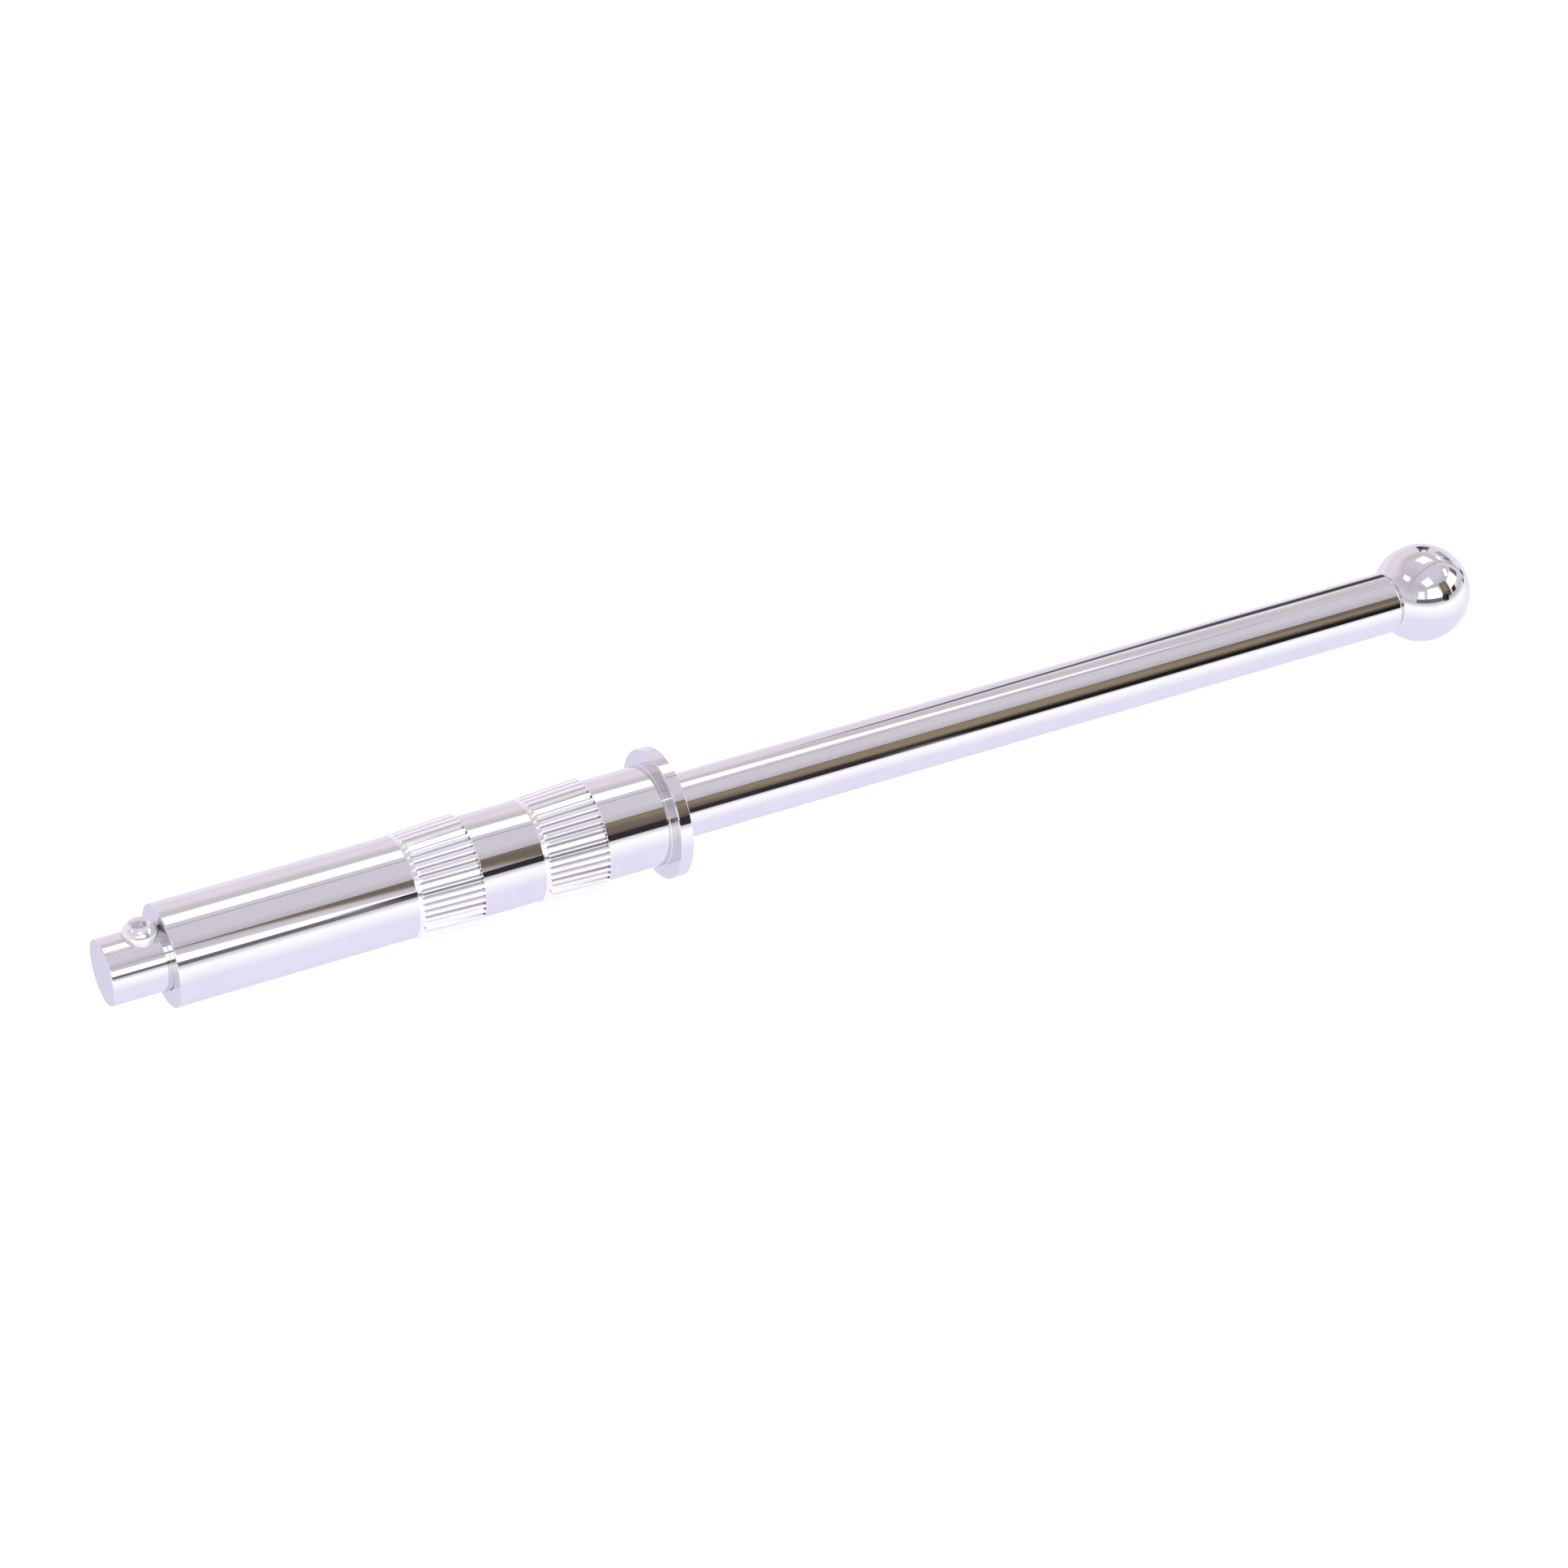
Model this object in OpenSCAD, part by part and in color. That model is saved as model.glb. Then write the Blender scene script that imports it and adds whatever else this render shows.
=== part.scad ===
// Pull-out garment rod for a closet: a round rod with a ball finial slides through a
// barrel that is driven into a hole drilled in the edge or face of a panel.
// The origin is the centre of the flange's rear face, which seats on the panel.
// +X runs along the rod towards the ball, and +Z is up. The rod is drawn fully out.

/* [Rod] */
// Diameter of the sliding rod
rod_d = 15.875; // [15.6:0.025:16.1]
// Length of the rod in front of the panel, up to the ball's seat
rod_reach = 210.25; // [120:0.25:260]
// Length of rod left behind the barrel when the rod is fully out
rod_stub = 14.1; // [12:0.1:30]
// Small chamfer on the rear end of the rod
rod_chamfer = 0.3; // [0.1:0.05:0.6]
// Rounding of the rod's front edge, where it meets the ball
rod_front_round = 1.05; // [0.3:0.05:1.5]

/* [Ball] */
// Diameter of the ball finial
ball_d = 25.4; // [22:0.1:30]
// Diameter of the threaded stud that joins the ball to the rod
stud_d = 6; // [4:0.5:8]
// Depth that the stud reaches into the rod
stud_in_rod = 13; // [8:0.5:25]
// Depth that the stud reaches into the ball
stud_in_ball = 8; // [5:0.5:12]

/* [Barrel] */
// Outer diameter of the barrel
barrel_d = 24.65; // [24.2:0.05:25]
// Length of the barrel behind the flange
barrel_l = 123.2; // [110:0.1:160]
// Bore of the barrel, which holds the bushes
barrel_bore_d = 21.2; // [21:0.05:21.6]
// Thickness of the closed rear end around the rod
lip_t = 4; // [2:0.5:8]
// Chamfer on the barrel's rear edge
barrel_chamfer = 0.35; // [0.1:0.05:0.6]
// Diameter of the low shoulder at the barrel's front end, against the flange
shoulder_d = 25; // [24.7:0.05:25.2]
// Length of that shoulder
shoulder_l = 0.7; // [0.3:0.05:1.5]

/* [Flange] */
// Outer diameter of the flange
flange_d = 32; // [29:0.5:45]
// Thickness of the flange
flange_t = 3.3; // [2:0.1:6]
// Length of the flange's spigot inside the barrel
spigot_l = 8; // [5:0.5:12]
// Chamfer on the flange's outer edges
flange_chamfer = 0.35; // [0.1:0.05:0.8]
// Lead-in chamfer where the rod leaves the flange
mouth_chamfer = 0.8; // [0.3:0.1:1.2]

/* [Knurled bands] */
// Length of one knurled band
band_l = 16; // [10:0.1:18]
// Plain length between the bands
band_gap = 15.8; // [14:0.1:20]
// Plain length between the front band and the flange
flange_gap = 17.2; // [14:0.1:20]
// Length of the lead-in bevel at a band's rear end
band_lead_l = 1.3; // [0.4:0.1:2]
// Outer diameter that the band's taper would have at its rear end without the lead-in
band_d_rear = 25.9; // [25.8:0.05:26.4]
// Outer diameter of a band at its front end
band_d_front = 27.7; // [27:0.05:28.4]
// Teeth around a band
band_teeth = 48; // [24:1:60]
// Depth of the grooves between the teeth
groove_depth = 0.48; // [0.2:0.01:0.5]
// Width of a groove at the teeth's tops
groove_w = 0.95; // [0.5:0.05:1.1]
// Depth of the seat that is turned in the barrel for each band
band_seat_depth = 0.2; // [0.2:0.05:0.4]

/* [Guides] */
// Length of each guide bush
bush_l = 20; // [10:1:25]
// Thickness of each rubber grip ring
grip_ring_t = 2.54; // [2.3:0.02:2.56]
// Length of the space that holds a grip ring
grip_space = 3.2; // [3.15:0.05:5]

/* [Stop screw] */
// Diameter of the button head
screw_head_d = 8.5; // [7.6:0.02:9.2]
// Diameter of the flat on top of the head
screw_flat_d = 5.2; // [4.6:0.1:5.6]
// Height of the head's top above the rod's axis
screw_top_z = 10.56; // [10:0.02:11]
// Height of the seat that is cut into the rod for the head
screw_seat_z = 6.4; // [6:0.1:7]
// Height where the head's round edge starts
screw_round_z = 7.6; // [7:0.1:9]
// Diameter of the screw's thread
screw_thread_d = 5; // [4:0.5:5]
// Length of the screw's thread
screw_thread_l = 8; // [5:0.5:10]
// Hexagon socket, across the flats
socket_af = 3.2; // [2.5:0.1:3.5]
// Depth of the hexagon socket
socket_depth = 1.8; // [1:0.1:2.5]
// Diameter of the countersink around the socket
socket_mouth_d = 4.5; // [3.8:0.1:4.8]

/* [Hidden] */
$fn = 96;

chrome = [0.86, 0.86, 0.89];
steel = [0.66, 0.67, 0.69];
nylon = [0.93, 0.92, 0.88];
rubber = [0.08, 0.08, 0.09];

// Clearances, all measured on the radius
guide_clearance = 0.05;
lip_clearance = 0.1;
insert_clearance = 0.02;
thread_clearance = 0.02;
grip_clearance = 0.04;
head_clearance = 0.1;
spacer_clearance = 0.65;
stop_gap = 0.05;

rod_r = rod_d / 2;
barrel_r = barrel_d / 2;
barrel_bore_r = barrel_bore_d / 2;
band_seat_r = barrel_r - band_seat_depth;
collar_bore_r = rod_r + lip_clearance;
insert_r = barrel_bore_r - insert_clearance;
eps = 0.01;

// Stations along X
barrel_rear_x = -barrel_l;
rod_rear_x = barrel_rear_x - rod_stub;
bore_rear_x = barrel_rear_x + lip_t;
rear_bush_end_x = bore_rear_x + bush_l;
spacer_rear_x = rear_bush_end_x + grip_space;
front_bush_x = -spigot_l - bush_l;
spacer_front_x = front_bush_x - grip_space;
front_band_x = -flange_gap - band_l;
rear_band_x = front_band_x - band_gap - band_l;
screw_x = barrel_rear_x - stop_gap - screw_head_d / 2;

// The ball's flat seat is as wide as the rod's flat end, inside its rounding
ball_r = ball_d / 2;
rod_end_r = rod_r - rod_front_round;
ball_x = rod_reach + sqrt(ball_r * ball_r - rod_end_r * rod_end_r);

// A turned piece: its profile is a list of [radius, x] points, spun about the X axis
module turned(profile) {
    rotate([0, 90, 0]) rotate_extrude() polygon(profile);
}

// A straight round bar or hole along X, from one station to another
module bar_x(from_x, to_x, r) {
    translate([from_x, 0, 0]) rotate([0, 90, 0]) cylinder(h = to_x - from_x, r = r);
}

// A plain tube between two stations
module tube_x(from_x, to_x, outer_r, inner_r) {
    turned([[inner_r, from_x], [outer_r, from_x], [outer_r, to_x], [inner_r, to_x]]);
}

// Barrel: a tube with a closed rear end that fits closely round the rod, two shallow
// seats for the knurled bands and a low shoulder at its front end
module barrel() {
    shoulder_r = shoulder_d / 2;
    color(chrome)
    turned([
        [collar_bore_r, barrel_rear_x],
        [barrel_r - barrel_chamfer, barrel_rear_x],
        [barrel_r, barrel_rear_x + barrel_chamfer],
        [barrel_r, rear_band_x],
        [band_seat_r, rear_band_x],
        [band_seat_r, rear_band_x + band_l],
        [barrel_r, rear_band_x + band_l],
        [barrel_r, front_band_x],
        [band_seat_r, front_band_x],
        [band_seat_r, front_band_x + band_l],
        [barrel_r, front_band_x + band_l],
        [barrel_r, barrel_r - shoulder_r - shoulder_l],
        [shoulder_r, -shoulder_l],
        [shoulder_r, 0],
        [barrel_bore_r, 0],
        [barrel_bore_r, bore_rear_x],
        [collar_bore_r, bore_rear_x],
    ]);
}

// Flange: the disc that seats on the panel, with a spigot that closes the barrel's bore
module flange() {
    edge_r = flange_d / 2;
    color(chrome)
    turned([
        [collar_bore_r, -spigot_l],
        [barrel_bore_r, -spigot_l],
        [barrel_bore_r, 0],
        [edge_r - flange_chamfer, 0],
        [edge_r, flange_chamfer],
        [edge_r, flange_t - flange_chamfer],
        [edge_r - flange_chamfer, flange_t],
        [collar_bore_r + mouth_chamfer, flange_t],
        [collar_bore_r, flange_t - mouth_chamfer],
    ]);
}

// One groove between two teeth: a V that follows the band's taper
module band_groove() {
    rear_r = band_d_rear / 2;
    taper = atan2(band_d_front / 2 - rear_r, band_l);
    spare = 1;
    half_w_top = groove_w / 2 * (groove_depth + spare) / groove_depth;
    translate([0, 0, rear_r]) rotate([0, -taper, 0]) translate([-spare, 0, 0])
        rotate([90, 0, 90]) linear_extrude(band_l + 2 * spare)
            polygon([[-half_w_top, spare], [0, -groove_depth], [half_w_top, spare]]);
}

// Knurled band: a tapered ring pressed into its seat on the barrel. Its teeth bite the
// drilled hole and its square front end stops the barrel from backing out.
module knurled_band(rear_x) {
    rear_r = band_d_rear / 2;
    front_r = band_d_front / 2;
    lead_rise = 0.08;
    front_break = 0.15;
    difference() {
        translate([rear_x, 0, 0]) turned([
            [band_seat_r, 0],
            [barrel_r + lead_rise, 0],
            [rear_r + (front_r - rear_r) * band_lead_l / band_l, band_lead_l],
            [front_r, band_l - front_break],
            [front_r - front_break, band_l],
            [band_seat_r, band_l],
        ]);
        for (i = [0 : band_teeth - 1])
            translate([rear_x, 0, 0]) rotate([360 / band_teeth * (i + 0.5), 0, 0]) band_groove();
    }
}

module rear_knurled_band() {
    color(chrome) knurled_band(rear_band_x);
}

module front_knurled_band() {
    color(chrome) knurled_band(front_band_x);
}

// Guide bushes: nylon sleeves that the rod slides in
module guide_bush(from_x) {
    color(nylon) tube_x(from_x, from_x + bush_l, insert_r, rod_r + guide_clearance);
}

module rear_guide_bush() {
    guide_bush(bore_rear_x);
}

module front_guide_bush() {
    guide_bush(front_bush_x);
}

// Spacer tube: keeps the two bushes and the two grip rings apart
module spacer_tube() {
    color(nylon) tube_x(spacer_rear_x, spacer_front_x, insert_r, rod_r + spacer_clearance);
}

// Grip rings: rubber rings that hold the rod where it is left
module grip_ring(centre_x) {
    section_r = grip_ring_t / 2;
    color(rubber)
    translate([centre_x, 0, 0]) rotate([0, 90, 0]) rotate_extrude()
        translate([rod_r + grip_clearance + section_r, 0]) circle(r = section_r);
}

module rear_grip_ring() {
    grip_ring(rear_bush_end_x + grip_space / 2);
}

module front_grip_ring() {
    grip_ring(front_bush_x - grip_space / 2);
}

// Rod: a solid bar, with a seat and tapped hole for the stop screw near its rear end
// and a tapped hole for the finial's stud in its front end
module rod() {
    drill_spare = 1;
    color(chrome)
    difference() {
        rotate([0, 90, 0]) rotate_extrude() {
            polygon([
                [0, rod_rear_x],
                [rod_r - rod_chamfer, rod_rear_x],
                [rod_r, rod_rear_x + rod_chamfer],
                [rod_r, rod_reach - rod_front_round],
                [rod_end_r, rod_reach - rod_front_round],
                [rod_end_r, rod_reach],
                [0, rod_reach],
            ]);
            translate([rod_end_r, rod_reach - rod_front_round]) circle(r = rod_front_round);
        }
        translate([screw_x, 0, screw_seat_z])
            cylinder(h = rod_r, r = screw_head_d / 2 + head_clearance);
        translate([screw_x, 0, screw_seat_z - screw_thread_l - drill_spare])
            cylinder(h = screw_thread_l + 2 * drill_spare,
                r = screw_thread_d / 2 + thread_clearance);
        bar_x(rod_reach - stud_in_rod - drill_spare, rod_reach + drill_spare,
            stud_d / 2 + thread_clearance);
    }
}

// Stop screw: a button head with a hexagon socket. Its head meets the barrel's rear face
// when the rod is fully out.
module stop_screw() {
    head_r = screw_head_d / 2;
    flat_r = screw_flat_d / 2;
    rise = screw_top_z - screw_round_z;
    run = head_r - flat_r;
    round_r = (run * run + rise * rise) / (2 * run);
    color(chrome)
    translate([screw_x, 0, 0])
    difference() {
        union() {
            rotate_extrude() {
                difference() {
                    union() {
                        translate([0, screw_seat_z])
                            square([head_r, screw_round_z - screw_seat_z]);
                        translate([0, screw_round_z - eps]) square([head_r - round_r, rise + eps]);
                        translate([head_r - round_r, screw_round_z]) circle(r = round_r);
                    }
                    translate([-head_r, screw_top_z]) square([2 * head_r, head_r]);
                    square([2 * head_r, screw_seat_z]);
                    translate([-head_r, 0]) square([head_r, 2 * screw_top_z]);
                }
            }
            translate([0, 0, screw_seat_z - screw_thread_l])
                cylinder(h = screw_thread_l + eps, r = screw_thread_d / 2);
        }
        translate([0, 0, screw_top_z - socket_depth])
            cylinder(h = socket_depth + eps, r = socket_af / sqrt(3), $fn = 6);
        translate([0, 0, screw_top_z - socket_mouth_d / 2 + socket_af / 2])
            cylinder(h = socket_mouth_d / 2 - socket_af / 2, r1 = socket_af / 2,
                r2 = socket_mouth_d / 2);
    }
}

// Stud: joins the ball to the rod
module finial_stud() {
    end_gap = 0.5;
    color(steel)
    bar_x(rod_reach - stud_in_rod + end_gap, rod_reach + stud_in_ball - end_gap, stud_d / 2);
}

// Ball finial: a ball with a flat seat for the rod's end and a blind tapped hole
module ball_finial() {
    color(chrome)
    difference() {
        rotate([0, 90, 0]) rotate_extrude() difference() {
            translate([0, ball_x]) circle(r = ball_r);
            translate([-ball_d, 0]) square([ball_d, ball_x + ball_d]);
            translate([-ball_d, 0]) square([2 * ball_d, rod_reach]);
        }
        bar_x(rod_reach - eps, rod_reach + stud_in_ball, stud_d / 2 + thread_clearance);
    }
}

barrel();
flange();
rear_knurled_band();
front_knurled_band();
rear_guide_bush();
front_guide_bush();
spacer_tube();
rear_grip_ring();
front_grip_ring();
rod();
stop_screw();
finial_stud();
ball_finial();
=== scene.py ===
"""Looks of the pull-out garment rod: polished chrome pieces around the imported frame, in a bright studio.

Units are metres. +X runs along the rod towards the ball, +Z is up, and the origin is the centre
of the flange's rear face. Places and sizes come from the frame's boxes.
"""

import math

import bpy
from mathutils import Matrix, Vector


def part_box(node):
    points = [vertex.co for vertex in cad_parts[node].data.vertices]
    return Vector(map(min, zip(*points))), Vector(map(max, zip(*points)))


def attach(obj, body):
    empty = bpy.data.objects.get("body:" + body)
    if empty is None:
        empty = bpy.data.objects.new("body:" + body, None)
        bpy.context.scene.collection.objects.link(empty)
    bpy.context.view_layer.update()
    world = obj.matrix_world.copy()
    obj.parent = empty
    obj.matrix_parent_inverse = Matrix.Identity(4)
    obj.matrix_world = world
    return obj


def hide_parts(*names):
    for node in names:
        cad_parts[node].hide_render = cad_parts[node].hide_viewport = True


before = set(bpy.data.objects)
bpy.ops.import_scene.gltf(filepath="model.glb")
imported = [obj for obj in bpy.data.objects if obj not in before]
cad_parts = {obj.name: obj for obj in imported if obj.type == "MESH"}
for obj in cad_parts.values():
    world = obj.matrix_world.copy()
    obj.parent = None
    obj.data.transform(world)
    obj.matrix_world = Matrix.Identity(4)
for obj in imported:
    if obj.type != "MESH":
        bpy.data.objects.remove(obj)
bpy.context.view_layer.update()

scene = bpy.context.scene
MM = 0.001
TURN = 2 * math.pi

# ---------------------------------------------------------------------------
# Places and sizes, read from the frame
# ---------------------------------------------------------------------------


def span(node):
    """(lowest x, highest x, outer radius) of a round node that lies along X."""
    low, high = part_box(node)
    return low.x, high.x, -low.z


ROD_REAR, ROD_SEAT, ROD_R = span("rod")
BARREL_REAR, BARREL_FRONT, SHOULDER_R = span("barrel")
SPIGOT_REAR, FLANGE_FRONT, FLANGE_R = span("flange")
BUSH_REAR, _, BUSH_R = span("rear_guide_bush")
BALL_SEAT, BALL_FRONT, BALL_R = span("ball_finial")
STUD_REAR, STUD_FRONT, STUD_R = span("finial_stud")
BALL_X = BALL_FRONT - BALL_R

SCREW_LOW, SCREW_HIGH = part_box("stop_screw")
SCREW_X = (SCREW_LOW.x + SCREW_HIGH.x) / 2
SCREW_HEAD_R = (SCREW_HIGH.x - SCREW_LOW.x) / 2
SCREW_TOP = SCREW_HIGH.z
SCREW_TIP = SCREW_LOW.z

# Radii that the boxes don't show
COLLAR_CLEARANCE = 0.1 * MM
THREAD_CLEARANCE = 0.02 * MM
BAND_SEAT_DEPTH = 0.2 * MM
SHOULDER_RISE = 0.175 * MM
SHOULDER_LENGTH = 0.7 * MM
BARREL_R = SHOULDER_R - SHOULDER_RISE
COLLAR_BORE_R = ROD_R + COLLAR_CLEARANCE
BARREL_BORE_R = BUSH_R + THREAD_CLEARANCE
STUD_HOLE_R = STUD_R + THREAD_CLEARANCE
BAND_SEAT_R = BARREL_R - BAND_SEAT_DEPTH
SCREW_SEAT_Z = 6.4 * MM
THREAD_R = 2.5 * MM

# Small edge roundings
EDGE = 0.3 * MM
ROD_FRONT_EDGE = 1.05 * MM
FINE_EDGE = 0.12 * MM
HIDDEN_EDGE = 0.2 * MM

# ---------------------------------------------------------------------------
# Turned pieces
# ---------------------------------------------------------------------------
# An outline is a list of stations (x, r, normal before, normal after). It runs with the metal
# on its right: forwards along the outside and back along the bore.

SEGMENTS = 192
ARC_STEPS = 6


def edge_normal(start, end):
    """Outward normal, as (along x, along r), of a straight stretch of outline."""
    dx, dr = end[0] - start[0], end[1] - start[1]
    length = math.hypot(dx, dr)
    return -dr / length, dx / length


def rounded_corner(before, corner, after):
    """Stations of one corner (x, r, rounding) between its two neighbours."""
    n_in, n_out = edge_normal(before, corner), edge_normal(corner, after)
    x, r, rounding = corner
    turn = math.atan2(n_in[0] * n_out[1] - n_in[1] * n_out[0], n_in[0] * n_out[0] + n_in[1] * n_out[1])
    if rounding == 0 or abs(turn) < 1e-4:
        return [(x, r, n_in, n_out)]
    side = -1 if turn < 0 else 1
    tangent = rounding * math.tan(abs(turn) / 2)
    # The outline runs along (n.r, -n.x), so the arc starts one tangent length before the corner
    start = (x - n_in[1] * tangent, r + n_in[0] * tangent)
    centre = (start[0] + side * n_in[0] * rounding, start[1] + side * n_in[1] * rounding)
    stations = []
    for step in range(ARC_STEPS + 1):
        angle = turn * step / ARC_STEPS
        normal = (
            n_in[0] * math.cos(angle) - n_in[1] * math.sin(angle),
            n_in[0] * math.sin(angle) + n_in[1] * math.cos(angle),
        )
        point = (centre[0] - side * normal[0] * rounding, centre[1] - side * normal[1] * rounding)
        stations.append((*point, normal, normal))
    return stations


def rounded_outline(corners, closed=True):
    """Stations of a whole outline of corners (x, r, rounding)."""
    count = len(corners)
    stations = []
    for i, corner in enumerate(corners):
        if closed or 0 < i < count - 1:
            stations += rounded_corner(corners[i - 1], corner, corners[(i + 1) % count])
        else:
            a, b = (corner, corners[1]) if i == 0 else (corners[-2], corner)
            normal = edge_normal(a, b)
            stations.append((corner[0], corner[1], normal, normal))
    return stations


def turned(name, stations, closed=True, segments=SEGMENTS):
    """A mesh spun from an outline, with exact normals. Stations with r = 0 become one point."""
    points, rings = [], []
    for x, r, _, _ in stations:
        if r == 0:
            rings.append([len(points)] * segments)
            points.append((x, 0, 0))
            continue
        rings.append(range(len(points), len(points) + segments))
        for j in range(segments):
            angle = TURN * j / segments
            points.append((x, r * math.cos(angle), r * math.sin(angle)))
    faces, normals = [], []
    last = len(stations) if closed else len(stations) - 1
    for i in range(last):
        k = (i + 1) % len(stations)
        n_here, n_next = stations[i][3], stations[k][2]
        for j in range(segments):
            m = (j + 1) % segments
            corners = [(rings[i][j], n_here, j), (rings[i][m], n_here, m),
                       (rings[k][m], n_next, m), (rings[k][j], n_next, j)]
            if rings[i][0] == rings[i][1]:
                del corners[1]
            elif rings[k][0] == rings[k][1]:
                del corners[3]
            faces.append([c[0] for c in corners])
            for _, (nx, nr), column in corners:
                angle = TURN * column / segments
                normals.append((nx, nr * math.cos(angle), nr * math.sin(angle)))
    mesh = bpy.data.meshes.new(name)
    mesh.from_pydata(points, [], faces)
    mesh.shade_smooth()
    mesh.normals_split_custom_set(normals)
    return add_object(name, mesh)


def add_object(name, mesh):
    """Puts a mesh into the scene, in place."""
    piece = bpy.data.objects.new(name, mesh)
    scene.collection.objects.link(piece)
    return piece


def build_barrel():
    """The barrel: a closed-ended tube with two seats for the knurled bands and a low front shoulder."""
    seats = [span("rear_knurled_band"), span("front_knurled_band")]
    lip_front = BUSH_REAR
    corners = [
        (BARREL_REAR, COLLAR_BORE_R, FINE_EDGE),
        (BARREL_REAR, BARREL_R, EDGE),
    ]
    for seat_rear, seat_front, _ in seats:
        corners += [
            (seat_rear, BARREL_R, 0),
            (seat_rear, BAND_SEAT_R, 0),
            (seat_front, BAND_SEAT_R, 0),
            (seat_front, BARREL_R, 0),
        ]
    corners += [
        (BARREL_FRONT - SHOULDER_LENGTH - SHOULDER_RISE, BARREL_R, 0),
        (BARREL_FRONT - SHOULDER_LENGTH, SHOULDER_R, 0),
        (BARREL_FRONT, SHOULDER_R, 0),
        (BARREL_FRONT, BARREL_BORE_R, 0),
        (lip_front, BARREL_BORE_R, HIDDEN_EDGE),
        (lip_front, COLLAR_BORE_R, HIDDEN_EDGE),
    ]
    return turned("barrel_polished", rounded_outline(corners))


def build_flange():
    """The flange: a thin disc with crisp rounded edges, and its spigot inside the barrel."""
    mouth = 0.8 * MM
    corners = [
        (SPIGOT_REAR, COLLAR_BORE_R, HIDDEN_EDGE),
        (SPIGOT_REAR, BARREL_BORE_R, HIDDEN_EDGE),
        (BARREL_FRONT, BARREL_BORE_R, 0),
        (BARREL_FRONT, FLANGE_R, EDGE),
        (FLANGE_FRONT, FLANGE_R, EDGE),
        (FLANGE_FRONT, COLLAR_BORE_R + mouth, FINE_EDGE),
        (FLANGE_FRONT - mouth, COLLAR_BORE_R, FINE_EDGE),
    ]
    return turned("flange_polished", rounded_outline(corners))


def build_ball():
    """The ball: a sphere with a flat seat for the rod's end, and a blind hole for the stud."""
    steps = 72
    hole_end = STUD_FRONT + 0.5 * MM
    seat_r = math.sqrt(BALL_R ** 2 - (BALL_X - BALL_SEAT) ** 2)
    stations = rounded_outline([
        (hole_end, 0, 0),
        (hole_end, STUD_HOLE_R, HIDDEN_EDGE),
        (BALL_SEAT, STUD_HOLE_R, HIDDEN_EDGE),
        (BALL_SEAT, seat_r, 0),
        (BALL_SEAT + FINE_EDGE, seat_r, 0),
    ], closed=False)[:-2]
    first = math.atan2(seat_r, BALL_SEAT - BALL_X)
    for step in range(steps + 1):
        angle = first * (1 - step / steps)
        normal = (math.cos(angle), math.sin(angle))
        before = (-1, 0) if step == 0 else normal
        r = BALL_R * normal[1] if step < steps else 0
        stations.append((BALL_X + BALL_R * normal[0], r, before, normal))
    return turned("ball_polished", stations, closed=False)


# ---------------------------------------------------------------------------
# Rod, with the stop screw's seat cut into it
# ---------------------------------------------------------------------------


def upright_cutter(low, high, radius, segments=96):
    """A closed cylinder on the stop screw's axis, used only to cut the rod."""
    ring = [TURN * j / segments for j in range(segments)]
    points = [(SCREW_X + radius * math.cos(a), radius * math.sin(a), z) for z in (low, high) for a in ring]
    faces = [[j, (j + 1) % segments, segments + (j + 1) % segments, segments + j] for j in range(segments)]
    faces += [list(range(segments))[::-1], list(range(segments, 2 * segments))]
    mesh = bpy.data.meshes.new("cutter")
    mesh.from_pydata(points, [], faces)
    return add_object("cutter", mesh)


def cut(piece, cutter):
    """Subtracts the cutter from the piece for good, and removes it."""
    step = piece.modifiers.new("cut", "BOOLEAN")
    step.operation = "DIFFERENCE"
    step.solver = "EXACT"
    step.object = cutter
    bpy.context.view_layer.update()
    result = bpy.data.meshes.new_from_object(piece.evaluated_get(bpy.context.evaluated_depsgraph_get()))
    piece.modifiers.clear()
    piece.data = result
    bpy.data.objects.remove(cutter)


def exact_rod_normals(mesh):
    """Gives the cut bar the normals of a true cylinder, and flat faces flat ones."""
    mesh.shade_smooth()
    mesh.set_sharp_from_angle(angle=math.radians(30))
    smooth = [corner.vector.copy() for corner in mesh.corner_normals]
    for face in mesh.polygons:
        for loop in face.loop_indices:
            at = mesh.vertices[mesh.loops[loop].vertex_index].co
            r = math.hypot(at.y, at.z)
            if r > 0.9 * ROD_R:
                radial = Vector((0, at.y / r, at.z / r))
                if abs(r - ROD_R) < 1e-6 and face.normal.dot(radial) > 0.99:
                    smooth[loop] = radial
            if abs(face.normal.x) > 0.9999 or abs(face.normal.z) > 0.9999 and r < 0.999 * ROD_R:
                smooth[loop] = face.normal.copy()
    mesh.normals_split_custom_set(smooth)


def build_rod():
    """The solid bar: rounded ends, a stud hole in front, and the screw's counterbore and tapped hole."""
    head_clearance = 0.03 * MM
    overlap = 1 * MM
    hole_end = STUD_REAR - 1.5 * MM
    near_screw = 2 * SCREW_HEAD_R
    stations = rounded_outline([
        (ROD_REAR, 0, 0),
        (ROD_REAR, ROD_R, EDGE),
        (SCREW_X + near_screw, ROD_R, 0),
        (ROD_SEAT, ROD_R, ROD_FRONT_EDGE),
        (ROD_SEAT, STUD_HOLE_R, HIDDEN_EDGE),
        (hole_end, STUD_HOLE_R, HIDDEN_EDGE),
        (hole_end, 0, 0),
    ], closed=False)
    rod = turned("rod_polished", stations, closed=False)
    cut(rod, upright_cutter(SCREW_SEAT_Z, 2 * ROD_R, SCREW_HEAD_R + head_clearance))
    cut(rod, upright_cutter(SCREW_TIP - overlap, SCREW_SEAT_Z + overlap, THREAD_R + THREAD_CLEARANCE))
    exact_rod_normals(rod.data)
    return rod


# ---------------------------------------------------------------------------
# Pieces with teeth and sockets
# ---------------------------------------------------------------------------


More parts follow.
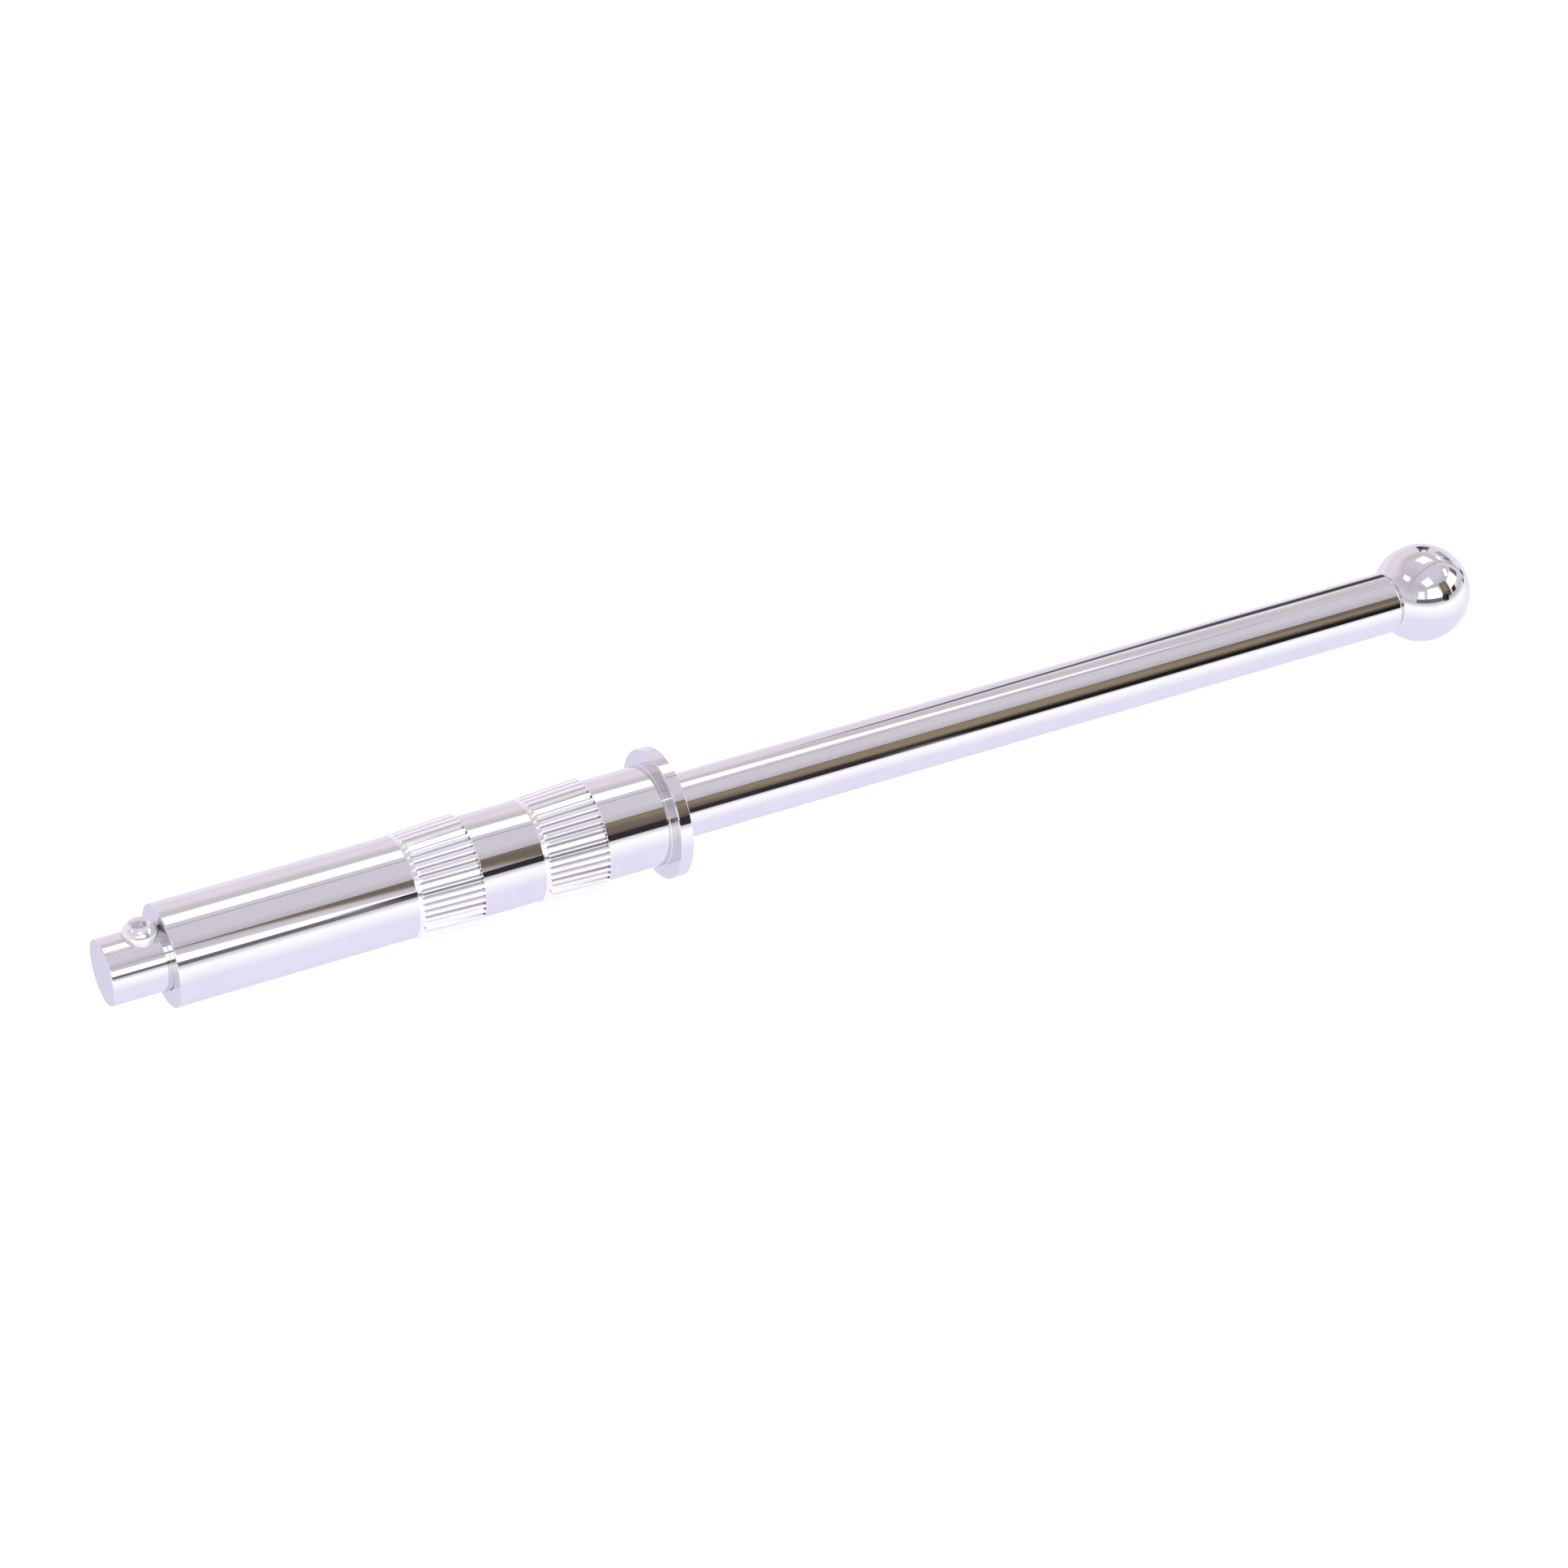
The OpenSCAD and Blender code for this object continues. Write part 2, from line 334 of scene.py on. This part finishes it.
def ring_piece(name, rings, sharp_angle, closed=False):
    """A mesh from rings of points. A ring of one point is an end on the axis; closed joins last to first."""
    points, faces, starts = [], [], []
    for ring in rings:
        starts.append(len(points))
        points += ring
    columns = max(len(ring) for ring in rings)
    last = len(rings) if closed else len(rings) - 1
    for i in range(last):
        k = (i + 1) % len(rings)
        for j in range(columns):
            m = (j + 1) % columns
            here = [starts[i]] if len(rings[i]) == 1 else [starts[i] + j, starts[i] + m]
            there = [starts[k]] if len(rings[k]) == 1 else [starts[k] + m, starts[k] + j]
            faces.append(here + there)
    mesh = bpy.data.meshes.new(name)
    mesh.from_pydata(points, [], faces)
    mesh.shade_smooth()
    mesh.set_sharp_from_angle(angle=math.radians(sharp_angle))
    piece = add_object(name, mesh)
    flats = piece.modifiers.new("flat faces stay flat", "WEIGHTED_NORMAL")
    flats.keep_sharp = True
    return piece


TEETH = 48
BAND_REAR_R = 12.95 * MM
LEAD_RISE = 0.08 * MM
LEAD_LENGTH = 1.3 * MM
GROOVE_DEPTH = 0.48 * MM
GROOVE_WIDTH = 0.95 * MM
CREST_ROUNDING = 0.1 * MM
ROOT_ROUNDING = 0.06 * MM


def tooth_profile(radius):
    """One pitch, groove to groove, as (angle, depth below the crest), with rounded root and crest edges."""
    steps = 4
    half_pitch = TURN / TEETH / 2
    half_groove = GROOVE_WIDTH / 2 / radius
    slope = GROOVE_DEPTH / half_groove
    root, crest = ROOT_ROUNDING / radius, CREST_ROUNDING / radius
    half = []
    for step in range(steps + 1):
        a = root * step / steps
        half.append((a, GROOVE_DEPTH - slope * (a * a + root * root) / (2 * root)))
    for step in range(2 * steps + 1):
        a = crest * (step / steps - 1)
        half.append((half_groove + a, slope * (crest - a) ** 2 / (4 * crest)))
    other_half = [(2 * half_pitch - a, depth) for a, depth in reversed(half[1:])]
    return half + [(half_pitch, 0)] + other_half


def lead_radii(node):
    """Outer radius of a band where its lead-in bevel starts, and where the bevel meets the taper."""
    rear, front, front_r = span(node)
    return BARREL_R + LEAD_RISE, BAND_REAR_R + (front_r - BAND_REAR_R) * LEAD_LENGTH / (front - rear)


def build_band(node):
    """A knurled band: a tapered ring with straight V grooves, a lead-in behind and a square front."""
    rear, front, front_r = span(node)
    taper = (front_r - BAND_REAR_R) / (front - rear)
    profile = tooth_profile((BAND_REAR_R + front_r) / 2)

    def ring(x, highest=front_r, sunk=0):
        """The toothed outline at x, sunk below its place and no higher than a radius."""
        points = []
        for tooth in range(TEETH):
            for angle, depth in profile:
                a = TURN * (tooth + 0.5) / TEETH + angle
                r = min(BAND_REAR_R + taper * (x - rear) - depth, highest) - sunk
                points.append((x, r * math.cos(a), r * math.sin(a)))
        return points

    steps = 12
    lead_r, lead_top_r = lead_radii(node)
    rings = [ring(rear, BAND_SEAT_R)]
    for step in range(steps + 1):
        rings.append(ring(rear + LEAD_LENGTH * step / steps, lead_r + (lead_top_r - lead_r) * step / steps))
    rings += [ring(rear + (front - rear) * t) for t in (0.12, 0.35, 0.65, 0.95)]
    for step in range(4):
        turn = math.pi / 2 * step / 3
        rings.append(ring(front - FINE_EDGE * (1 - math.sin(turn)), sunk=FINE_EDGE * (1 - math.cos(turn))))
    rings.append(ring(front, BAND_SEAT_R))
    return ring_piece(node + "_toothed", rings, sharp_angle=35, closed=True)


SCREW_COLUMNS = 96
SCREW_ROUND_Z = 7.6 * MM
SCREW_FLAT_R = 2.6 * MM
DOME_STEPS = 12
SOCKET_AF = 3.2 * MM
SOCKET_DEPTH = 1.8 * MM
SOCKET_MOUTH_R = 2.25 * MM
SOCKET_BREAK = 0.45 * MM


def screw_ring(r, z):
    """A round ring about the stop screw's axis."""
    angles = [TURN * j / SCREW_COLUMNS for j in range(SCREW_COLUMNS)]
    return [(SCREW_X + r * math.cos(a), r * math.sin(a), z) for a in angles]


def hex_ring(across_flats, z):
    """A hexagon about the stop screw's axis, with slightly rounded corners."""
    sixth = TURN / 6
    corner_r = 1.13 * across_flats / 2
    points = []
    for j in range(SCREW_COLUMNS):
        a = TURN * j / SCREW_COLUMNS
        off_flat = (a % sixth) - sixth / 2
        r = min(across_flats / 2 / math.cos(off_flat), corner_r)
        points.append((SCREW_X + r * math.cos(a), r * math.sin(a), z))
    return points


def build_screw():
    """The stop screw: a threaded shank, a button head with a domed edge, and a hexagon socket."""
    rise, run = SCREW_TOP - SCREW_ROUND_Z, SCREW_HEAD_R - SCREW_FLAT_R
    dome_r = (run * run + rise * rise) / (2 * run)
    sweep = math.asin(rise / dome_r)
    floor_z = SCREW_TOP - SOCKET_DEPTH
    end_break, flat_break, mouth_break = 0.5 * MM, 0.1 * MM, 0.05 * MM
    mouth_drop, drill_point = 0.02 * MM, 0.3 * MM
    rings = [[(SCREW_X, 0, SCREW_TIP)], screw_ring(THREAD_R - end_break, SCREW_TIP)]
    rings += thread_rings(SCREW_TIP + end_break, SCREW_SEAT_Z)
    rings += [screw_ring(SCREW_HEAD_R - FINE_EDGE, SCREW_SEAT_Z)]
    rings += [screw_ring(SCREW_HEAD_R, z) for z in (SCREW_SEAT_Z + FINE_EDGE, SCREW_ROUND_Z - FINE_EDGE)]
    for step in range(DOME_STEPS + 1):
        turn = sweep * step / DOME_STEPS
        r = SCREW_HEAD_R - dome_r * (1 - math.cos(turn))
        rings.append(screw_ring(r, SCREW_ROUND_Z + dome_r * math.sin(turn)))
    rings += [screw_ring(r, SCREW_TOP) for r in (SCREW_FLAT_R - flat_break, SOCKET_MOUTH_R + mouth_break)]
    rings += [screw_ring(SOCKET_MOUTH_R, SCREW_TOP - mouth_drop)]
    rings += [hex_ring(SOCKET_AF, z) for z in (SCREW_TOP - SOCKET_BREAK, floor_z + FINE_EDGE, floor_z)]
    rings += [hex_ring(SOCKET_AF - FINE_EDGE, floor_z), [(SCREW_X, 0, floor_z - drill_point)]]
    return ring_piece("stop_screw_head", rings, sharp_angle=28)


def thread_rings(low, high, pitch=0.8 * MM, depth=0.35 * MM):
    """Rings of the shank between two heights: crests and roots of a machine thread."""
    rings = [screw_ring(THREAD_R, low)]
    turns = int((high - low) / pitch)
    for i in range(turns):
        z = low + pitch * i
        rings += [screw_ring(THREAD_R, z + 0.1 * pitch), screw_ring(THREAD_R - depth, z + 0.5 * pitch)]
        rings.append(screw_ring(THREAD_R, z + 0.9 * pitch))
    rings.append(screw_ring(THREAD_R, high))
    return rings


# ---------------------------------------------------------------------------
# Materials
# ---------------------------------------------------------------------------


class Surface:
    """A material with one Principled shader, and the few nodes that give it its detail."""

    def __init__(self, name):
        self.material = bpy.data.materials.new(name)
        self.material.use_nodes = True
        self.tree = self.material.node_tree
        self.shader = self.tree.nodes["Principled BSDF"]
        self.place = self.tree.nodes.new("ShaderNodeTexCoord").outputs["Object"]

    def set(self, **values):
        """Sets sockets of the shader; underscores in a name stand for spaces."""
        for name, value in values.items():
            self.shader.inputs[name.replace("_", " ")].default_value = value

    def link(self, source, socket):
        self.tree.links.new(source, self.shader.inputs[socket])

    def noise(self, scale, detail=2.0, stretch=(1, 1, 1)):
        """Noise in the piece's own space: features per metre, stretched along any axis."""
        mapping = self.tree.nodes.new("ShaderNodeMapping")
        mapping.inputs["Scale"].default_value = stretch
        texture = self.tree.nodes.new("ShaderNodeTexNoise")
        texture.inputs["Scale"].default_value = scale
        texture.inputs["Detail"].default_value = detail
        self.tree.links.new(self.place, mapping.inputs["Vector"])
        self.tree.links.new(mapping.outputs["Vector"], texture.inputs["Vector"])
        return texture.outputs["Fac"]

    def spread(self, source, low, high, source_low=0.3, source_high=0.7):
        """Maps a texture's usual range to the range from low to high."""
        node = self.tree.nodes.new("ShaderNodeMapRange")
        node.inputs["From Min"].default_value = source_low
        node.inputs["From Max"].default_value = source_high
        node.inputs["To Min"].default_value = low
        node.inputs["To Max"].default_value = high
        self.tree.links.new(source, node.inputs["Value"])
        return node.outputs["Result"]

    def math(self, operation, first, second):
        """One sum of two values."""
        node = self.tree.nodes.new("ShaderNodeMath")
        node.operation = operation
        self.tree.links.new(first, node.inputs[0])
        self.tree.links.new(second, node.inputs[1])
        return node.outputs["Value"]

    def along_and_radius(self):
        """Place along the X axis, and distance from it."""
        axes = self.tree.nodes.new("ShaderNodeSeparateXYZ")
        self.tree.links.new(self.place, axes.inputs["Vector"])
        across = self.tree.nodes.new("ShaderNodeCombineXYZ")
        for axis in "YZ":
            self.tree.links.new(axes.outputs[axis], across.inputs[axis])
        length = self.tree.nodes.new("ShaderNodeVectorMath")
        length.operation = "LENGTH"
        self.tree.links.new(across.outputs["Vector"], length.inputs["Vector"])
        return axes.outputs["X"], length.outputs["Value"]

    def blend(self, factor, first, second):
        """A colour between two, by a factor from 0 to 1."""
        node = self.tree.nodes.new("ShaderNodeMix")
        node.data_type = "RGBA"
        node.inputs["A"].default_value = (*first, 1)
        node.inputs["B"].default_value = (*second, 1)
        self.tree.links.new(factor, node.inputs["Factor"])
        return node.outputs["Result"]

    def bump(self, source, height, strength=1.0):
        """Raises the surface by up to a height in metres."""
        node = self.tree.nodes.new("ShaderNodeBump")
        node.inputs["Strength"].default_value = strength
        node.inputs["Distance"].default_value = height
        self.tree.links.new(source, node.inputs["Height"])
        self.tree.links.new(node.outputs["Normal"], self.shader.inputs["Normal"])


def chrome(name, base=(0.78, 0.775, 0.79), smooth=0.012, dull=0.045, lines=(1, 1, 1), metal=1.0):
    """Polished chrome plate: faint polishing lines in the gloss, and a very slight waviness."""
    wave = 0.4e-6
    surface = Surface(name)
    surface.set(Metallic=metal, Specular_Tint=(0.88, 0.88, 0.88, 1))
    cloudy = surface.noise(60, 3)
    shade = [0.97 * channel for channel in base]
    surface.link(surface.blend(surface.spread(cloudy, 0, 1), base, shade), "Base Color")
    hairlines = surface.noise(900, 4, lines)
    surface.link(surface.spread(hairlines, smooth, dull), "Roughness")
    surface.bump(surface.noise(45, 1), wave)
    return surface


def knurled_chrome(name, node):
    """Chrome over cut teeth: a satin gloss, with painted shade that darkens the colour in the grooves and
    leaves the crests bright.
    """
    rear, front, front_r = span(node)
    surface = Surface(name)
    surface.set(Metallic=1.0)
    surface.link(surface.spread(surface.noise(900, 4, (0.15, 1, 1)), 0.08, 0.15), "Roughness")
    surface.bump(surface.noise(45, 1), 0.6e-6)
    along, radius = surface.along_and_radius()
    lead_r, lead_top_r = lead_radii(node)
    lead_top = rear + LEAD_LENGTH
    lead_crest = surface.spread(along, lead_r, lead_top_r, rear, lead_top)
    taper_rise = surface.spread(along, 0, front_r - lead_top_r, lead_top, front)
    depth = surface.math("SUBTRACT", surface.math("ADD", lead_crest, taper_rise), radius)
    # Painted shade: the colour darkens with depth below the crest, to about half in the grooves' roots.
    groove_painted_shade = surface.spread(depth, 0, 1, 0.3 * GROOVE_DEPTH, GROOVE_DEPTH)
    surface.link(surface.blend(groove_painted_shade, (0.95, 0.945, 0.96), (0.50, 0.495, 0.51)), "Base Color")
    return surface


def moulded_nylon(name):
    """Off-white nylon with a fine moulded grain."""
    surface = Surface(name)
    surface.set(Subsurface_Weight=0.08, Subsurface_Radius=(0.002, 0.002, 0.0015))
    cloudy = surface.spread(surface.noise(120, 3), 0, 1)
    surface.link(surface.blend(cloudy, (0.83, 0.81, 0.76), (0.77, 0.75, 0.69)), "Base Color")
    surface.link(surface.spread(surface.noise(2500, 3), 0.38, 0.55), "Roughness")
    surface.bump(surface.noise(3000, 2), 8e-6)
    return surface


def soft_rubber(name):
    """Black rubber, matt with a little mould bloom."""
    surface = Surface(name)
    bloom = surface.spread(surface.noise(400, 3), 0, 1)
    surface.link(surface.blend(bloom, (0.022, 0.022, 0.024), (0.045, 0.045, 0.047)), "Base Color")
    surface.link(surface.spread(surface.noise(2200, 3), 0.55, 0.75), "Roughness")
    surface.bump(surface.noise(4500, 2), 6e-6)
    return surface


def turned_steel(name):
    """Plain steel with fine rings left by the lathe."""
    surface = Surface(name)
    surface.set(Metallic=1.0)
    tone = surface.spread(surface.noise(90, 3), 0, 1)
    surface.link(surface.blend(tone, (0.50, 0.50, 0.52), (0.40, 0.40, 0.42)), "Base Color")
    rings = surface.noise(700, 3, (8, 0.4, 0.4))
    surface.link(surface.spread(rings, 0.22, 0.42), "Roughness")
    surface.bump(rings, 4e-6)
    return surface


# ---------------------------------------------------------------------------
# Studio: what the chrome reflects
# ---------------------------------------------------------------------------
# The studio is a plain surround with flat cards over it. Colours are the display values that
# the chrome shows, so they are divided by its own colour.

SHOWN_ALBEDO = 0.78
WHITE = (255, 255, 255)
GLARE = (290, 290, 292)


def radiance(colour):
    """The light that a display colour stands for, once the chrome has taken its share."""
    channels = [c / 255 for c in colour]
    linear = [c / 12.92 if c <= 0.04045 else ((c + 0.055) / 1.055) ** 2.4 for c in channels]
    return (*[c / SHOWN_ALBEDO for c in linear], 1)


# Tones of the room
FLOOR = (230, 225, 245)
LIT_FLOOR = (245, 240, 250)
LOW_WALL = (235, 230, 245)
HIGH_WALL = (225, 215, 225)
CORNICE = (195, 190, 195)
CEILING = (205, 200, 210)
SHADE = (190, 185, 195)
DIM = (185, 180, 185)
CREAM = (215, 210, 215)
STEEL = (150, 145, 150)
BEAM = (140, 135, 140)
GREY = (110, 105, 110)
DARK = (90, 85, 90)
DEEP = (75, 70, 75)
WOOD = (140, 125, 105)
WOOD_EDGE = (110, 100, 90)
WOOD_FOOT = (90, 80, 75)
BAG = (50, 45, 50)
BAG_FOLD = (30, 30, 30)

# Surround from floor to ceiling, as (elevation, tone): the wall side (+Y) and the window side (-Y)
WALL_SIDE = [(-60, FLOOR), (-38, LIT_FLOOR), (-26, LIT_FLOOR), (-12, LOW_WALL), (3, LOW_WALL),
             (12, HIGH_WALL), (35, HIGH_WALL), (48, CORNICE), (64, CEILING)]
WINDOW_SIDE = [(-38, FLOOR), (-10, WHITE), (-5, WHITE), (5, SHADE), (15, CREAM), (28, CEILING),
               (42, DIM), (56, CEILING)]


def at(azimuth, elevation):
    """The direction with this azimuth (0 is +Y, 90 is +X, 180 is -Y) and elevation, in degrees."""
    turn, lift = math.radians(azimuth), math.radians(elevation)
    return Vector((math.sin(turn) * math.cos(lift), math.cos(turn) * math.cos(lift), math.sin(lift)))


def wall(left, right, low, high):
    """Corners of a card on a wall: from left to right in azimuth, from low to high in elevation."""
    return [at(left, low), at(right, low), at(right, high), at(left, high)]


def patch(*places):
    """Corners of a card on a wall, each as (azimuth, elevation)."""
    return [at(*place) for place in places]


def overhead(u, v, half_u, half_v, turn=12.8):
    """Corners of a ceiling panel one unit up, turned a little as the room is."""
    c, s = math.cos(math.radians(turn)), math.sin(math.radians(turn))
    places = []
    for side_u, side_v in ((-1, -1), (1, -1), (1, 1), (-1, 1)):
        a, b = side_u * half_u, side_v * half_v
        places.append(Vector((u + a * c - b * s, v + a * s + b * c, 1)))
    return places


# (corners, colour, softness of the edges in degrees)
CARDS = [
    # Floor behind, seen in the flat rear faces
    (wall(-60, -6, -60, -8), (220, 215, 235), 6),
    # Ceiling panels, a beam, and the duller ceiling over the far end
    (wall(-125, -55, 20, 75), SHADE, 30),
    (overhead(-1.1, -0.352, 1.8, 0.011, 14), BEAM, 0.5),
    (overhead(0.52, 0.052, 0.03, 0.014, 14), GREY, 0.7),
    ([Vector((0.56, 0.20, 1)), Vector((0.42, 0.575, 1)), Vector((0.02, 0.50, 1)), Vector((0.12, 0.15, 1))],
     GLARE, 1.6),
    (overhead(-0.20, -0.74, 0.23, 0.23), GLARE, 1.2),
    (overhead(-0.87, 0.10, 0.15, 0.19), GLARE, 1.2),
    (overhead(0.97, -0.40, 0.13, 0.20), GLARE, 1.2),
    (overhead(1.02, 0.44, 0.10, 0.10), GLARE, 1.2),
    # Windows
    (wall(102, 135, 17, 36), GLARE, 1),
    (patch((161, 13), (163, 24), (168, 37), (199, 37), (199, 13)), GLARE, 1.2),
    (wall(208, 222, 15, 31), GLARE, 1),
    (wall(90, 101, 17, 33), GREY, 1.5),
    # Window sill
    (wall(163, 225, 5, 13), GREY, 1.5),
    # Door: a dark opening with a bright pane
    (wall(30, 42, 11, 39), GREY, 1.5),
    (wall(30, 36, 11, 29), DEEP, 3),
    (wall(30, 32, 11, 39), DARK, 1.5),
    (wall(33, 41, 30, 39), (230, 225, 230), 2),
    # Column with a dark foot, and shelves
    (wall(79, 90, 6, 60), STEEL, 1),
    (wall(81, 90, 6, 60), CREAM, 1),
    (wall(73, 81, -4, 4), DEEP, 2),
    (wall(85, 92, -4, 2), DARK, 2),
    (wall(52, 78, 17, 31), (170, 165, 165), 4),
    (wall(67, 71, 18, 31), GREY, 2),
    # Wooden cabinet: a darker rim, sides and foot
    (patch((138, 10), (138, 39), (161, 42), (159, 10)), WOOD, 1.2),
    (wall(138, 144, 10, 38), WOOD_EDGE, 3),
    (wall(155, 160, 10, 40), WOOD_EDGE, 3.5),
    (patch((138, 37), (138, 39), (161, 42), (161, 40)), WOOD_EDGE, 2.5),
    (wall(138, 159, 8, 20), WOOD_FOOT, 7),
    # Black bags in front of it
    (wall(121, 133, 9, 19), BAG, 2),
    (patch((155, 17), (163, 16), (163, 6), (158, 3), (155, 2)), BAG, 1.6),
    (patch((146, 14), (155, 15), (155, 2), (147, 2)), BAG_FOLD, 2),
]


class Studio:
    """The world's node tree, built up card by card over a plain surround."""

    def __init__(self):
        self.world = bpy.data.worlds.new("studio")
        self.world.use_nodes = True
        self.tree = self.world.node_tree
        self.tree.nodes.clear()
        self.direction = self.node("ShaderNodeTexCoord").outputs["Generated"]
        self.elevation = self.math("DEGREES", self.math("ARCSINE", self.towards(Vector((0, 0, 1)))))
        wall_share = self.rise(self.towards(Vector((0, 1, 0))), 0, 0.7)
        self.colour = self.mixed(wall_share, self.by_height(WINDOW_SIDE), self.by_height(WALL_SIDE))

    def node(self, kind, **settings):
        node = self.tree.nodes.new(kind)
        for name, value in settings.items():
            setattr(node, name, value)
        return node

    def feed(self, socket, value):
        """Links a socket to a node's output, or sets it to a value."""
        if isinstance(value, bpy.types.NodeSocket):
            self.tree.links.new(value, socket)
        else:
            socket.default_value = value

    def math(self, operation, *values):
        node = self.node("ShaderNodeMath", operation=operation)
        for socket, value in zip(node.inputs, values):
            self.feed(socket, value)
        return node.outputs["Value"]

    def towards(self, axis):
        """How far the direction points along an axis, from -1 to 1."""
        node = self.node("ShaderNodeVectorMath", operation="DOT_PRODUCT")
        self.feed(node.inputs[0], self.direction)
        self.feed(node.inputs[1], axis)
        return node.outputs["Value"]

    def rise(self, value, centre, soft):
        """0 below a value, 1 above it, with a soft edge."""
        node = self.node("ShaderNodeMapRange", interpolation_type="SMOOTHSTEP")
        self.feed(node.inputs["Value"], value)
        node.inputs["From Min"].default_value = centre - soft / 2
        node.inputs["From Max"].default_value = centre + soft / 2
        return node.outputs["Result"]

    def mixed(self, factor, first, second):
        node = self.node("ShaderNodeMix", data_type="RGBA")
        for name, value in (("Factor", factor), ("A", first), ("B", second)):
            socket = next(s for s in node.inputs if s.name == name and s.enabled)
            self.feed(socket, value)
        return next(s for s in node.outputs if s.enabled)

    def by_height(self, rows):
        """Colour by elevation, from rows of (elevation, colour)."""
        node = self.node("ShaderNodeValToRGB")
        self.feed(node.inputs["Fac"], self.math("DIVIDE", self.math("ADD", self.elevation, 90), 180))
        stops = node.color_ramp.elements
        while len(stops) < len(rows):
            stops.new(1)
        for stop, (elevation, colour) in zip(stops, rows):
            stop.position = (elevation + 90) / 180
            stop.color = radiance(colour)
        return node.outputs["Color"]

    def add_card(self, card_corners, colour, soft):
        """Lays one flat card over what is there."""
        centre = sum(card_corners, Vector())
        depth = 1
        for here, there in zip(card_corners, card_corners[1:] + card_corners[:1]):
            inward = here.cross(there).normalized()
            if inward.dot(centre) < 0:
                inward.negate()
            depth = self.math("MINIMUM", self.towards(inward), depth)
        mask = self.rise(depth, 0, math.radians(soft))
        self.colour = self.mixed(mask, self.colour, radiance(colour))

    def finish(self):
        """The cards light the pieces and show in them. The camera itself sees plain white."""
        lit = self.node("ShaderNodeBackground")
        self.feed(lit.inputs["Color"], self.colour)
        plain = self.node("ShaderNodeBackground")
        plain.inputs["Color"].default_value = (1, 1, 1, 1)
        chosen = self.node("ShaderNodeMixShader")
        self.feed(chosen.inputs["Fac"], self.node("ShaderNodeLightPath").outputs["Is Camera Ray"])
        self.feed(chosen.inputs[1], lit.outputs["Background"])
        self.feed(chosen.inputs[2], plain.outputs["Background"])
        output = self.node("ShaderNodeOutputWorld")
        self.feed(output.inputs["Surface"], chosen.outputs["Shader"])
        scene.world = self.world


def build_studio():
    """Walls, windows and ceiling panels, as a world that the chrome reflects."""
    studio = Studio()
    for card_corners, colour, soft in CARDS:
        studio.add_card(card_corners, colour, soft)
    studio.finish()


def build_floor():
    """A plain, evenly lit floor well below the object."""
    half, drop = 1.6, 0.25
    mesh = bpy.data.meshes.new("floor")
    corners = [(-half, -half), (half, -half), (half, half), (-half, half)]
    mesh.from_pydata([(x, y, -drop) for x, y in corners], [], [(0, 1, 2, 3)])
    floor = add_object("floor", mesh)
    surface = Surface("pale_floor")
    surface.set(Base_Color=(0.82, 0.82, 0.82, 1), Roughness=0.9)
    surface.set(Emission_Color=(1, 1, 1, 1), Emission_Strength=1.0)
    mesh.materials.append(surface.material)
    floor.visible_glossy = False


def build_camera():
    """A long lens, level, from above and behind the rod's rear end."""
    data = bpy.data.cameras.new("camera")
    turn, tilt = 27.681, 33.4934
    data.sensor_width = 36
    data.lens = 93.724
    data.clip_start = 0.01
    camera = bpy.data.objects.new("camera", data)
    camera.location = (-0.3454, -0.7259, 0.5402)
    camera.rotation_euler = (math.radians(90 - tilt), 0, math.radians(-turn))
    scene.collection.objects.link(camera)
    scene.camera = camera


# ---------------------------------------------------------------------------
# Assembly
# ---------------------------------------------------------------------------


def stand_for(piece, node, body, surface):
    """The piece takes a CAD node's place, rides on its body and gets its material."""
    piece.data.materials.clear()
    piece.data.materials.append(surface.material)
    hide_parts(node)
    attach(piece, body)


def finish_node(node, surface):
    """A hidden CAD node keeps its shape and gets a better material."""
    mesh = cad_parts[node].data
    mesh.materials.clear()
    mesh.materials.append(surface.material)


barrel_chrome = chrome("barrel_chrome", lines=(0.3, 1, 1))
rod_chrome = chrome("rod_chrome", lines=(0.2, 1, 1))
screw_chrome = chrome("screw_chrome", (0.88, 0.875, 0.89), 0.04, 0.1, (1, 1, 0.4), metal=0.65)

stand_for(build_barrel(), "barrel", "barrel", barrel_chrome)
stand_for(build_flange(), "flange", "barrel", barrel_chrome)
for band in ("rear_knurled_band", "front_knurled_band"):
    stand_for(build_band(band), band, "barrel", knurled_chrome(band + "_chrome", band))
stand_for(build_rod(), "rod", "rod", rod_chrome)
stand_for(build_screw(), "stop_screw", "rod", screw_chrome)
stand_for(build_ball(), "ball_finial", "rod", rod_chrome)

nylon = moulded_nylon("nylon")
rubber = soft_rubber("grip_rubber")
for node in ("rear_guide_bush", "front_guide_bush", "spacer_tube"):
    finish_node(node, nylon)
for node in ("rear_grip_ring", "front_grip_ring"):
    finish_node(node, rubber)
finish_node("finial_stud", turned_steel("plain_steel"))

build_studio()
build_floor()
build_camera()
scene.view_settings.view_transform = "Standard"
